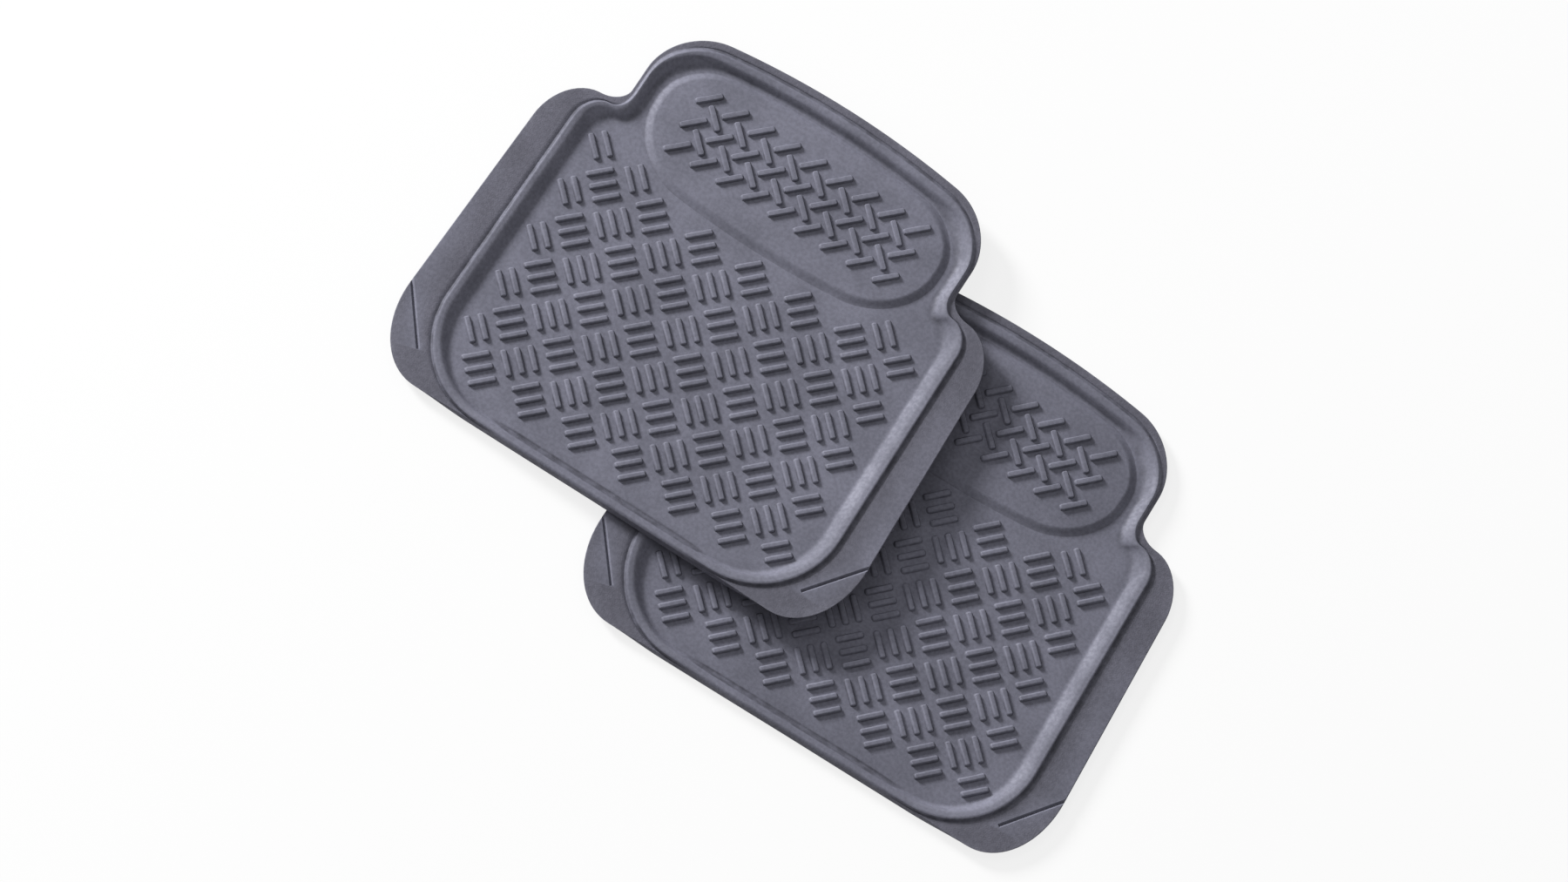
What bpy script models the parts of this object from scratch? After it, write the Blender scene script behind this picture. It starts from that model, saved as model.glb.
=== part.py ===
"""Set of two moulded footwell mats, the upper one lying half over the lower one.

Each mat is one rubber moulding: a shallow tray inside a raised bead, flat flanges beside
the bead, a raised pad at the toe end and a basket weave of ribs over the floor.
Metres, +Z up. X runs across a mat, and +Y runs from its heel edge to its toe edge.
"""

import math
from typing import NamedTuple

import bmesh
import bpy
from mathutils import Matrix, Vector

# Outer outline of one mat
HALF_WIDTH = 0.2836         # side line, carried down to the heel line
SIDE_TAPER = 0.033          # inward run of each side per metre of length
LENGTH = 0.5172             # heel edge to the middle of the toe edge
TOE_LENGTH = 0.1300         # middle of the toe edge back to the shoulder line
SHOULDER_FALL = 0.10        # fall of the shoulder line per metre outward
TOE_HALF_WIDTH = 0.2012
CROWN_RADIUS = 0.976        # gentle bow of the toe edge

# Heights above the ground
FLOOR_Z = 0.0040            # tread floor, under the ribs
FLANGE_Z = 0.0088           # top of the flat side flanges
FOOT_DIP = 0.0022           # depth of the groove between a flange and the bead
CREST_Z = 0.0118            # top of the bead
CREST_ROUND = 0.0006        # fall from the bead's middle to its two edges
HEEL_EDGE_Z = 0.0015        # lower lip of the bead along the heel
SHEET = 0.0030              # thickness of the rim, bead and flanges
GROOVE_SHARE = 0.86         # part of a flange's width before it rolls down into the groove

# Toe pad
PAD_LENGTH = 0.1870         # middle of the toe edge back to the pad's heel-side border
PAD_RISE = 0.0040
PAD_SLOPE = 0.0090          # run of its sloped border
PAD_SIDE_GAP = 0.0110       # floor left between the pad and the tray wall beside it
PAD_TOE_GAP = 0.0040        # floor left between the pad and the toe wall
PAD_BOW_RADIUS = 1.0        # bow of its heel-side border

# Ribs of the tread and bars of the toe pad
WEAVE_PITCH = 0.0612        # one block of each direction, along X and along Y
WEAVE_X = 0.0124            # middle of one block that leans to the right
WEAVE_Y = 0.0557
RIBS_PER_BLOCK = 3
RIB_LENGTH = 0.0300
RIB_WIDTH = 0.0066
RIB_HEIGHT = 0.0030
RIB_PAD_GAP = 0.0040        # floor left between a rib and the pad
WEAVE_SIDE = 0.0796         # side line in to the middle of the last ribs
WEAVE_CORNER = 0.1640       # bare corner by the right shoulder, along X and Y together
BAR_PITCH = 0.0322
BAR_BACK = 0.1056           # middle of the toe edge back to the middle row of bars
BAR_COLUMNS = 9
BAR_ROWS = 3
BAR_LENGTH = 0.0300
BAR_WIDTH = 0.0068
BAR_HEIGHT = 0.0020
BAR_OVERHANG = 0.0020       # how far a bar may run out onto the pad's sloped border
DRAFT = 0.0008              # how far each rib leans in over its height
EMBED = 0.0010              # depth that raised shapes reach into what carries them

# Trim line moulded across each heel corner of the flanges
TRIM_DEPTH = 0.0015
TRIM_EDGE_Y = 0.0955        # where it leaves the outer edge
TRIM_BEAD_Y = 0.042         # where it meets the foot of the bead
TRIM_BEAD_INSET = 0.044     # that point's inset from the side line
TRIM_OVERRUN = 0.004

# How the two mats lie
LOWER_X = 0.3025            # lower mat, from the upper one
LOWER_Y = -0.0950
LOWER_YAW = math.radians(1.4)
REST_GAP = 0.0003           # upper mat's underside above the lower mat's bead

# Colour of the rubber
RUBBER = (0.150, 0.153, 0.190, 1.0)
RUBBER_ROUGHNESS = 0.62

# Facets in the corners of every contour
HEEL_STEPS = 9
SHOULDER_STEPS = 7
NOTCH_STEPS = 5
TOE_STEPS = 9
CROWN_STEPS = 4
HEEL_SHARES = (0.0, 0.70, 0.80, 0.90)
HEEL_BLEND = (1.0, 1.0, 0.70, 0.30)
SHOULDER_SHARE = 0.60       # part of the shoulder line that its outer corner takes
NOTCH_SHARE = 0.36          # part that the notch takes
CORNER_ROOM = 0.96          # most of any other line that its two corners take


class Spread(NamedTuple):
    """Width of one band of the rim along each stretch of the outline."""

    heel: float
    side: float
    shoulder: float
    toe_side: float
    toe: float


class Turn(NamedTuple):
    """How far a contour's corners reach back along the lines that they join."""

    heel_across: float
    heel_up: float
    shoulder_up: float
    notch_up: float
    toe_up: float
    toe_across: float


FLANGE = Spread(heel=0.0015, side=0.0345, shoulder=0.0035, toe_side=0.0015, toe=0.0085)
DROP = Spread(heel=0.0015, side=0.0032, shoulder=0.0015, toe_side=0.0015, toe=0.0038)
CREST = Spread(heel=0.0085, side=0.0068, shoulder=0.0025, toe_side=0.0040, toe=0.0092)
WALL = Spread(heel=0.0065, side=0.0105, shoulder=0.0060, toe_side=0.0095, toe=0.0075)
RIB_MARGIN = Spread(heel=0.0060, side=0.0010, shoulder=0.0, toe_side=0.0040, toe=0.0040)
NONE = Spread(0.0, 0.0, 0.0, 0.0, 0.0)
HEEL_LIP = Spread(SHEET, 0.0, 0.0, 0.0, 0.0)
FOOT_BACK = Spread(SHEET, 0.4 * SHEET, 0.1 * SHEET, 0.3 * SHEET, 0.3 * SHEET)
FLOOR_BACK = Spread(*([SHEET / 3] * 5))

# Heights of the contours that rise and fall along the outline
GROOVE_Z = Spread(heel=0.0100, side=FLANGE_Z - FOOT_DIP, shoulder=FLANGE_Z - FOOT_DIP,
                  toe_side=0.0100, toe=FLANGE_Z - FOOT_DIP)
EDGE_Z = Spread(HEEL_EDGE_Z, FLANGE_Z, FLANGE_Z, FLANGE_Z, FLANGE_Z)
LIP_Z = Spread(HEEL_EDGE_Z / 3, *([FLANGE_Z - SHEET] * 4))
GROOVE_BACK_Z = Spread(0.0046, *(z - SHEET for z in GROOVE_Z[1:]))

EDGE_TURN = Turn(0.066, 0.094, 0.056, 0.019, 0.062, 0.062)
FOOT_TURN = Turn(0.085, 0.092, 0.032, 0.020, 0.056, 0.060)
CREST_TURN = Turn(0.087, 0.089, 0.030, 0.022, 0.051, 0.056)
FLOOR_TURN = Turn(0.080, 0.085, 0.040, 0.025, 0.058, 0.066)
PAD_HEEL_TURN = (0.070, 0.064)      # across, up
PAD_TOE_TURN = (0.082, 0.060)


def plus(first, second, share=1.0):
    """Add a share of one spread to another."""
    return Spread(*(a + share * b for a, b in zip(first, second)))


def corner(start, apex, end, steps):
    """Points of a quarter ellipse from start to end, tangent to the lines through apex."""
    points = []
    for index in range(steps + 1):
        angle = 0.5 * math.pi * index / steps
        point = start + end - apex
        point = point + (apex - end) * math.cos(angle) + (apex - start) * math.sin(angle)
        points.append(point)
    return points


def fitted(first, second, room):
    """Reaches of the two corners on one line, drawn back where the line is short."""
    share = min(1.0, CORNER_ROOM * room / (first + second))
    return first * share, second * share


def bow(radius, x):
    """Depth of a circular arc at a distance x from its middle, and its slope there."""
    rest = math.sqrt(radius * radius - x * x)
    return radius - rest, x / rest


def crown_apex(middle_y, from_x, side_x):
    """End of the bowed toe edge, and where its tangent there meets the side."""
    depth, slope = bow(CROWN_RADIUS, from_x)
    end = Vector((from_x, middle_y - depth))
    return end, Vector((side_x, end.y - slope * (side_x - from_x)))


def crown(middle_y, from_x, side_x, up):
    """Rounded toe corner beside side_x, then the bowed edge in to the middle."""
    end, apex = crown_apex(middle_y, from_x, side_x)
    points = corner(apex - Vector((0.0, up)), apex, end, TOE_STEPS)
    for index in range(CROWN_STEPS - 1, -1, -1):
        x = from_x * index / CROWN_STEPS
        points.append(Vector((x, middle_y - bow(CROWN_RADIUS, x)[0])))
    return points


def mirrored(half):
    """Close a right half, which starts and ends at x = 0, with its mirror image."""
    left = [Vector((-point.x, point.y)) for point in reversed(half[1:-1])]
    return half + left


def rim_half(inset, turn):
    """Right half of one contour of the mat, from mid heel to mid toe."""
    side_x = HALF_WIDTH - inset.side
    toe_x = TOE_HALF_WIDTH - inset.toe_side
    notch = Vector((toe_x, LENGTH - TOE_LENGTH - inset.shoulder))
    shoulder_y = (notch.y - SHOULDER_FALL * (side_x - toe_x)) / (1 - SHOULDER_FALL * SIDE_TAPER)
    shoulder = Vector((side_x - SIDE_TAPER * shoulder_y, shoulder_y))
    heel = Vector((side_x - SIDE_TAPER * inset.heel, inset.heel))
    up_side = (shoulder - heel).normalized()
    along = notch - shoulder
    toe_y = LENGTH - inset.toe
    bow_x = toe_x - turn.toe_across
    toe = crown_apex(toe_y, bow_x, toe_x)[1]
    heel_up, shoulder_up = fitted(turn.heel_up, turn.shoulder_up, (shoulder - heel).length)
    notch_up, toe_up = fitted(turn.notch_up, turn.toe_up, toe.y - notch.y)

    heel_end = heel - Vector((turn.heel_across, 0.0))
    half = [Vector((heel_end.x * share, heel_end.y)) for share in HEEL_SHARES]
    half += corner(heel_end, heel, heel + up_side * heel_up, HEEL_STEPS)
    half += corner(shoulder - up_side * shoulder_up, shoulder,
                   shoulder + along * SHOULDER_SHARE, SHOULDER_STEPS)
    half += corner(notch - along * NOTCH_SHARE, notch,
                   notch + Vector((0.0, notch_up)), NOTCH_STEPS)
    half += crown(toe_y, bow_x, toe_x, toe_up)
    return half


def rim_heights(z):
    """Height of every point of a right half, running from one stretch's level to the next."""
    heights = [z.side + (z.heel - z.side) * share for share in HEEL_BLEND]
    heights += [z.side] * (HEEL_STEPS + 1)
    corners = ((z.side, z.shoulder, SHOULDER_STEPS), (z.shoulder, z.toe_side, NOTCH_STEPS),
               (z.toe_side, z.toe, TOE_STEPS))
    for before, after, steps in corners:
        heights += [before + (after - before) * index / steps for index in range(steps + 1)]
    return heights + [z.toe] * CROWN_STEPS


def rim_ring(inset, turn, z):
    """Closed 3-D contour of the mat, at the height z or at the levels of a spread."""
    levels = z if isinstance(z, Spread) else Spread(z, z, z, z, z)
    heights = rim_heights(levels)
    heights += list(reversed(heights[1:-1]))
    return [Vector((p.x, p.y, h)) for p, h in zip(mirrored(rim_half(inset, turn)), heights)]


def pad_outline(inset):
    """Closed outline of the toe pad, drawn in by inset from its foot."""
    floor_edge = wall_foot()
    side_x = TOE_HALF_WIDTH - floor_edge.toe_side - PAD_SIDE_GAP - inset
    toe_y = LENGTH - floor_edge.toe - PAD_TOE_GAP - inset
    heel_y = LENGTH - PAD_LENGTH + inset
    across = PAD_HEEL_TURN[0] - inset
    from_x = side_x - across
    depth, slope = bow(PAD_BOW_RADIUS, from_x)
    start = Vector((from_x, heel_y + depth))
    apex = Vector((side_x, start.y + slope * across))
    bow_x = side_x - PAD_TOE_TURN[0] + inset
    toe = crown_apex(toe_y, bow_x, side_x)[1]
    heel_up, toe_up = fitted(PAD_HEEL_TURN[1] - inset, PAD_TOE_TURN[1] - inset, toe.y - apex.y)
    half = []
    for index in range(CROWN_STEPS):
        x = from_x * index / CROWN_STEPS
        half.append(Vector((x, heel_y + bow(PAD_BOW_RADIUS, x)[0])))
    half += corner(start, apex, apex + Vector((0.0, heel_up)), TOE_STEPS)
    half += crown(toe_y, bow_x, side_x, toe_up)
    return mirrored(half)


def crest_outer():
    """Insets of the bead's outer crest edge."""
    return plus(FLANGE, DROP)


def wall_foot():
    """Insets of the foot of the tray wall."""
    return plus(plus(crest_outer(), CREST), WALL)


def floor_back():
    """Insets of the flat underside's border, just outside the foot of the wall."""
    return plus(wall_foot(), FLOOR_BACK, -1.0)


def shell_rings():
    """Contours of the moulding, over the top from the floor out and back underneath."""
    outer = crest_outer()
    edge_z = CREST_Z - CREST_ROUND
    return [
        rim_ring(wall_foot(), FLOOR_TURN, FLOOR_Z),
        rim_ring(plus(outer, CREST), CREST_TURN, edge_z),
        rim_ring(plus(outer, CREST, 0.5), CREST_TURN, CREST_Z),
        rim_ring(outer, CREST_TURN, edge_z),
        rim_ring(FLANGE, FOOT_TURN, GROOVE_Z),
        rim_ring(plus(NONE, FLANGE, GROOVE_SHARE), FOOT_TURN, FLANGE_Z),
        rim_ring(NONE, EDGE_TURN, EDGE_Z),
        rim_ring(HEEL_LIP, EDGE_TURN, LIP_Z),
        rim_ring(plus(FLANGE, FOOT_BACK), FOOT_TURN, GROOVE_BACK_Z),
        rim_ring(plus(outer, CREST, 0.35), CREST_TURN, CREST_Z - SHEET),
        rim_ring(plus(outer, CREST, 0.65), CREST_TURN, CREST_Z - SHEET),
        rim_ring(floor_back(), FLOOR_TURN, 0.0),
    ]


def loft(name, rings):
    """Closed solid through a row of like contours, with a flat face at each end."""
    bm = bmesh.new()
    rows = [[bm.verts.new(point) for point in ring] for ring in rings]
    for row, following in zip(rows, rows[1:]):
        for index in range(len(row)):
            last = index - 1
            bm.faces.new((row[last], row[index], following[index], following[last]))
    bm.faces.new(rows[0])
    bm.faces.new(rows[-1])
    bmesh.ops.recalc_face_normals(bm, faces=bm.faces)
    mesh = bpy.data.meshes.new(name)
    bm.to_mesh(mesh)
    bm.free()
    return mesh


def bar_corners(x, y, angle, length, width):
    """Plan corners of one straight rib."""
    turn = Matrix.Rotation(angle, 2)
    halves = ((1, 1), (1, -1), (-1, -1), (-1, 1))
    return [Vector((x, y)) + turn @ Vector((0.5 * a * length, 0.5 * b * width)) for a, b in halves]


def add_bar(bm, x, y, angle, length, width, base_z, height):
    """Add one drafted rib that stands on base_z."""
    made = bmesh.ops.create_cube(bm, size=1.0)["verts"]
    for vert in made:
        top = vert.co.z > 0.0
        lean = 2 * DRAFT if top else 0.0
        vert.co.x *= length - lean
        vert.co.y *= width - lean
        vert.co.z = base_z + height if top else base_z - EMBED
    place = Matrix.Translation((x, y, 0.0)) @ Matrix.Rotation(angle, 4, "Z")
    bmesh.ops.transform(bm, matrix=place, verts=made)


def inside(outline, point):
    """Whether a plan point lies within a closed outline."""
    hit = False
    for index, end in enumerate(outline):
        start = outline[index - 1]
        if (start.y > point.y) != (end.y > point.y):
            reach = (end.x - start.x) * (point.y - start.y) / (end.y - start.y)
            if point.x < start.x + reach:
                hit = not hit
    return hit


def weave_ribs():
    """Place and angle of every tread rib that has room; at the sides they run into the wall."""
    field = mirrored(rim_half(plus(wall_foot(), RIB_MARGIN), FLOOR_TURN))
    pad = pad_outline(-RIB_PAD_GAP)
    last_x = HALF_WIDTH - WEAVE_SIDE
    last_sum = HALF_WIDTH + LENGTH - TOE_LENGTH - WEAVE_CORNER
    rib_pitch = WEAVE_PITCH / math.sqrt(2.0) / RIBS_PER_BLOCK
    reach = math.ceil(LENGTH / WEAVE_PITCH)
    ribs = []
    for column in range(-2 * reach, 2 * reach):
        for row in range(-2, 2 * reach):
            if (column + row) % 2:
                continue
            angle = math.radians(45.0) if column % 2 == 0 else math.radians(-45.0)
            across = Vector((-math.sin(angle), math.cos(angle)))
            middle = Vector((WEAVE_X + 0.5 * column * WEAVE_PITCH,
                             WEAVE_Y + 0.5 * row * WEAVE_PITCH))
            for index in range(RIBS_PER_BLOCK):
                spot = middle + across * rib_pitch * (index - 0.5 * (RIBS_PER_BLOCK - 1))
                corners = bar_corners(spot.x, spot.y, angle, RIB_LENGTH, RIB_WIDTH)
                clear = all(inside(field, c) and not inside(pad, c) for c in corners)
                if clear and abs(spot.x) < last_x and spot.x + spot.y < last_sum:
                    ribs.append((spot.x, spot.y, angle))
    return ribs


def pad_bars():
    """Place and angle of every bar that has room on the toe pad, two leanings in turn."""
    field = pad_outline(PAD_SLOPE - BAR_OVERHANG)
    middle_y = LENGTH - BAR_BACK
    bars = []
    for row in range(2 * BAR_ROWS - 1):
        right = row % 2 == 0
        columns = BAR_COLUMNS if right else BAR_COLUMNS - 1
        angle = math.radians(45.0) if right else math.radians(-45.0)
        y = middle_y + 0.5 * BAR_PITCH * (row - (BAR_ROWS - 1))
        for column in range(columns):
            x = BAR_PITCH * (column - 0.5 * (columns - 1))
            corners = bar_corners(x, y, angle, BAR_LENGTH, BAR_WIDTH)
            if all(inside(field, c) for c in corners):
                bars.append((x, y, angle))
    return bars


def tread_mesh():
    """All ribs and bars, each a closed body."""
    bm = bmesh.new()
    for x, y, angle in weave_ribs():
        add_bar(bm, x, y, angle, RIB_LENGTH, RIB_WIDTH, FLOOR_Z, RIB_HEIGHT)
    for x, y, angle in pad_bars():
        add_bar(bm, x, y, angle, BAR_LENGTH, BAR_WIDTH, FLOOR_Z + PAD_RISE, BAR_HEIGHT)
    mesh = bpy.data.meshes.new("tread")
    bm.to_mesh(mesh)
    bm.free()
    return mesh


def trim_mesh():
    """Two long square bars, stood on edge, that cut the trim lines."""
    bm = bmesh.new()
    side = TRIM_DEPTH * math.sqrt(2.0)
    for hand in (1.0, -1.0):
        edge = Vector((hand * (HALF_WIDTH - SIDE_TAPER * TRIM_EDGE_Y), TRIM_EDGE_Y))
        bead = Vector((hand * (HALF_WIDTH - TRIM_BEAD_INSET), TRIM_BEAD_Y))
        run = edge - bead
        middle = bead + 0.5 * run + run.normalized() * 0.5 * TRIM_OVERRUN
        size = Matrix.Diagonal((run.length + TRIM_OVERRUN, side, side, 1.0))
        place = Matrix.Translation((middle.x, middle.y, FLANGE_Z))
        place = place @ Matrix.Rotation(math.atan2(run.y, run.x), 4, "Z")
        place = place @ Matrix.Rotation(math.radians(45.0), 4, "X")
        bmesh.ops.create_cube(bm, size=1.0, matrix=place @ size)
    mesh = bpy.data.meshes.new("trim_lines")
    bm.to_mesh(mesh)
    bm.free()
    return mesh


def add_object(name, mesh, collection, guide=False):
    """Put a mesh in a collection as an object, as a hidden guide if asked."""
    item = bpy.data.objects.new(name, mesh)
    collection.objects.link(item)
    if guide:
        item.hide_render = True
        item.display_type = "WIRE"
    return item


def add_empty(name, collection, parent=None):
    """Add an empty that carries other objects."""
    item = bpy.data.objects.new(name, None)
    collection.objects.link(item)
    item.parent = parent
    return item


def cut(target, tool, operation):
    """Join a tool to a target, or take it away."""
    change = target.modifiers.new(tool.name, "BOOLEAN")
    change.operation = operation
    change.solver = "EXACT"
    change.object = tool


def mat_mesh(guides):
    """Finished mesh of one mat: shell, toe pad and tread in one, with its trim lines."""
    blank = add_object("mat_blank", loft("mat_blank", shell_rings()), guides, guide=True)
    levels = ((0.0, FLOOR_Z - EMBED), (0.0, FLOOR_Z), (PAD_SLOPE, FLOOR_Z + PAD_RISE))
    pad_rings = [[Vector((p.x, p.y, z)) for p in pad_outline(inset)] for inset, z in levels]
    pad = add_object("toe_pad", loft("toe_pad", pad_rings), guides, guide=True)
    tread = add_object("tread", tread_mesh(), guides, guide=True)
    trim = add_object("trim_lines", trim_mesh(), guides, guide=True)
    cut(blank, pad, "UNION")
    cut(blank, tread, "UNION")
    cut(blank, trim, "DIFFERENCE")
    bpy.context.view_layer.update()
    finished = blank.evaluated_get(bpy.context.evaluated_depsgraph_get())
    mesh = bpy.data.meshes.new_from_object(finished)
    mesh.name = "floor_mat"
    mesh.shade_smooth()
    mesh.set_sharp_from_angle(angle=math.radians(28.0))
    return mesh


def rubber(name):
    """Matt grey rubber."""
    material = bpy.data.materials.new(name)
    material.use_nodes = True
    shader = material.node_tree.nodes["Principled BSDF"]
    shader.inputs["Base Color"].default_value = RUBBER
    shader.inputs["Roughness"].default_value = RUBBER_ROUGHNESS
    shader.inputs["Metallic"].default_value = 0.0
    material.diffuse_color = RUBBER
    return material


def rest_line():
    """Half width and lean of the left floor edge, on which the upper mat stands."""
    return HALF_WIDTH - floor_back().side, math.atan(SIDE_TAPER)


def rest_tilt():
    """Angle at which the upper mat lies from the ground up onto the lower mat's bead."""
    ground, lean = rest_line()
    cover = mirrored(rim_half(NONE, EDGE_TURN))
    place = Matrix.Translation((LOWER_X, LOWER_Y, 0.0)) @ Matrix.Rotation(LOWER_YAW, 4, "Z")
    edge_z = CREST_Z - CREST_ROUND
    tilt = 0.0
    for share, z in ((0.0, edge_z), (0.5, CREST_Z), (1.0, edge_z)):
        bead = rim_ring(plus(crest_outer(), CREST, share), CREST_TURN, z)
        for point in [place @ p for p in bead]:
            run = (point.x + ground) * math.cos(lean) - point.y * math.sin(lean)
            if inside(cover, point):
                gap = math.asin(REST_GAP / math.hypot(run, z))
                tilt = max(tilt, math.atan2(z, run) + gap)
    return tilt


def main():
    """Model the set and stand it with the middle of its base at the origin."""
    for item in list(bpy.data.objects):
        bpy.data.objects.remove(item, do_unlink=True)
    parts = bpy.data.collections.new("floor_mat_set")
    guides = bpy.data.collections.new("floor_mat_set_cutters")
    bpy.context.scene.collection.children.link(parts)
    bpy.context.scene.collection.children.link(guides)

    shared = mat_mesh(guides)
    root = add_empty("set_origin", parts)

    lower = add_object("lower_mat", shared, parts)
    lower.parent = root
    lower.location = (LOWER_X, LOWER_Y, 0.0)
    lower.rotation_euler = (0.0, 0.0, LOWER_YAW)

    # The upper mat turns up about the line where its left floor edge meets the ground.
    ground, lean = rest_line()
    pivot = add_empty("upper_mat_rest_line", parts, root)
    pivot.location = (-ground, 0.0, 0.0)
    pivot.rotation_euler = (0.0, -rest_tilt(), -lean)
    upper = add_object("upper_mat", shared.copy(), parts)
    upper.parent = pivot
    upper.location = (ground * math.cos(lean), ground * math.sin(lean), 0.0)
    upper.rotation_euler = (0.0, 0.0, lean)

    lower.data.materials.append(rubber("lower_mat_rubber"))
    upper.data.materials.append(rubber("upper_mat_rubber"))

    bpy.context.view_layer.update()
    points = [item.matrix_world @ v.co for item in (lower, upper) for v in item.data.vertices]
    middle_x = 0.5 * (min(p.x for p in points) + max(p.x for p in points))
    middle_y = 0.5 * (min(p.y for p in points) + max(p.y for p in points))
    root.location = (-middle_x, -middle_y, 0.0)
    bpy.context.view_layer.update()


main()
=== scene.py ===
"""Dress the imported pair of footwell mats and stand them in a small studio.

Each mat is one rubber moulding. Its shell, toe pad, tread ribs, pad bars and underside nibs
are made in the mat's own frame, in metres: X runs across, +Y from the heel edge to the toe
edge, and Z up from the plane of the nib tips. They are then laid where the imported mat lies.
"""

from __future__ import annotations

import logging
import math
from dataclasses import astuple, dataclass
from enum import Enum
from typing import Any, Callable, Sequence

import bmesh
import bpy
import numpy as np
from mathutils import Matrix, Vector

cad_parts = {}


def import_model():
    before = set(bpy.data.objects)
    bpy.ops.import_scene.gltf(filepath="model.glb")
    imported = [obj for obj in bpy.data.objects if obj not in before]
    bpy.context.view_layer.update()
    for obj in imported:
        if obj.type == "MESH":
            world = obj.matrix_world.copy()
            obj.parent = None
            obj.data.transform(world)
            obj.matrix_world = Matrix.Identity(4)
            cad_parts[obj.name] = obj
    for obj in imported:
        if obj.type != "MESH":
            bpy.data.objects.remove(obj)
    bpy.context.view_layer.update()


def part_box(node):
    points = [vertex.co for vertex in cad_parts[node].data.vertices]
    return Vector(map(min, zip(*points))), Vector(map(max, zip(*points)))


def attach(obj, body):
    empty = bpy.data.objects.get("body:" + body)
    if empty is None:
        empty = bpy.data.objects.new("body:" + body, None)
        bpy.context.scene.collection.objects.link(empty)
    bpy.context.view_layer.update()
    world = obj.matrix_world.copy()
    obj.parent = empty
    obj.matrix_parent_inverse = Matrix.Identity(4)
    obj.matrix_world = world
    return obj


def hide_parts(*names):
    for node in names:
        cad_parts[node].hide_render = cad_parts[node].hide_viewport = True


LOG = logging.getLogger("floor_mats")
SHADE_AND_WEAR = "exposure"       # painted shade in creases, grooves and at feet from -1 or less; wear and painted highlight on crests up to +1
COARSE = "coarse"           # 1 on the textured flanges, 0 elsewhere
LEAN = "lean"               # turn of each rib about Z, in radians
HOLD = 1.35                 # where a face beside a rounding turns flat, in reaches of the rounding
MIDWAY = 0.45               # largest share of the way to the next contour that a rounding takes
TINY = 1e-9                 # least length that is divided by
TOLERANCE = 1e-6            # within which two heights are the same

Colour = tuple[float, float, float, float]


class MatName(Enum):
    """The two mats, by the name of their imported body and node."""

    LOWER = "lower_mat"
    UPPER = "upper_mat"


class Lean(Enum):
    """The two ways a rib leans, in degrees from the mat's X axis."""

    RIGHT = 45.0
    LEFT = -45.0


Spot = tuple[float, float, Lean]


@dataclass(frozen=True)
class Band:
    """Widths, heights or marks along the five stretches of a mat's outline."""

    heel: float
    side: float
    shoulder: float
    toe_side: float
    toe: float

    def plus(self, other: Band, share: float = 1.0) -> Band:
        """Add a share of another band to this one."""
        return Band(*(a + share * b for a, b in zip(astuple(self), astuple(other))))

    @staticmethod
    def even(value: float) -> Band:
        """Make a band of one value all the way round."""
        return Band(value, value, value, value, value)


@dataclass(frozen=True)
class Turn:
    """Taper of a contour's sides, and how far its corners reach back along their lines."""

    taper: float
    heel_across: float
    heel_up: float
    shoulder_up: float
    notch_up: float
    toe_up: float
    toe_across: float

    def tighter(self, step: float) -> Turn:
        """Draw in the corners of a contour that lies further in.

        Args:
            step: How much shorter the corners' reaches are.

        Returns:
            The tighter corners, with the same notch.
        """
        return Turn(self.taper, self.heel_across - step, self.heel_up - step,
                    self.shoulder_up - step, self.notch_up, self.toe_up - step,
                    self.toe_across - step)


def quarter(start: Vector, apex: Vector, end: Vector, steps: int) -> list[Vector]:
    """Round a corner with a quarter ellipse.

    Args:
        start: First point, on one of the two lines.
        apex: Where the two lines meet.
        end: Last point, on the other line.
        steps: Number of segments.

    Returns:
        The points from start to end, both included.
    """
    middle = start + end - apex
    angles = [0.5 * math.pi * index / steps for index in range(steps + 1)]
    return [middle + (apex - end) * math.cos(a) + (apex - start) * math.sin(a) for a in angles]


def arc_depth(radius: float, x: float) -> tuple[float, float]:
    """Give the depth and the slope of a shallow arc at a distance from its middle."""
    rest = math.sqrt(radius * radius - x * x)
    return radius - rest, x / rest


def mirrored(half: list[Vector]) -> list[Vector]:
    """Close a right half, which starts and ends at x = 0, with its mirror image."""
    return half + [Vector((-point.x, point.y)) for point in reversed(half[1:-1])]


def inside(outline: Sequence[Vector], point: Vector) -> bool:
    """Tell whether a plan point lies within a closed outline.

    Args:
        outline: Corners of the outline, in order.
        point: The point to test.

    Returns:
        True where the point is inside.
    """
    hit = False
    for index, end in enumerate(outline):
        start = outline[index - 1]
        if (start.y > point.y) != (end.y > point.y):
            reach = (end.x - start.x) * (point.y - start.y) / (end.y - start.y)
            if point.x < start.x + reach:
                hit = not hit
    return hit


def smooth(share: float) -> float:
    """Ease a share from 0 to 1 with level ends."""
    share = min(1.0, max(0.0, share))
    return share * share * (3.0 - 2.0 * share)


def direction(azimuth: float, elevation: float) -> Vector:
    """Point from the mats to a place above the floor."""
    level = math.cos(elevation)
    return Vector((level * math.cos(azimuth), level * math.sin(azimuth), math.sin(elevation)))


def add_object(name: str, data: bpy.types.ID) -> bpy.types.Object:
    """Put a mesh, a lamp or a camera in the scene, at the origin.

    Args:
        name: Name of the object.
        data: What it holds.

    Returns:
        The new object.
    """
    item = bpy.data.objects.new(name, data)
    bpy.context.scene.collection.objects.link(item)
    return item


def plain_mesh(name: str, bm: bmesh.types.BMesh) -> bpy.types.Mesh:
    """Turn an edit mesh into a plain one, and free it.

    Args:
        name: Name of the mesh.
        bm: The edit mesh.

    Returns:
        The new mesh.
    """
    mesh = bpy.data.meshes.new(name)
    bm.to_mesh(mesh)
    bm.free()
    return mesh


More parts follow.
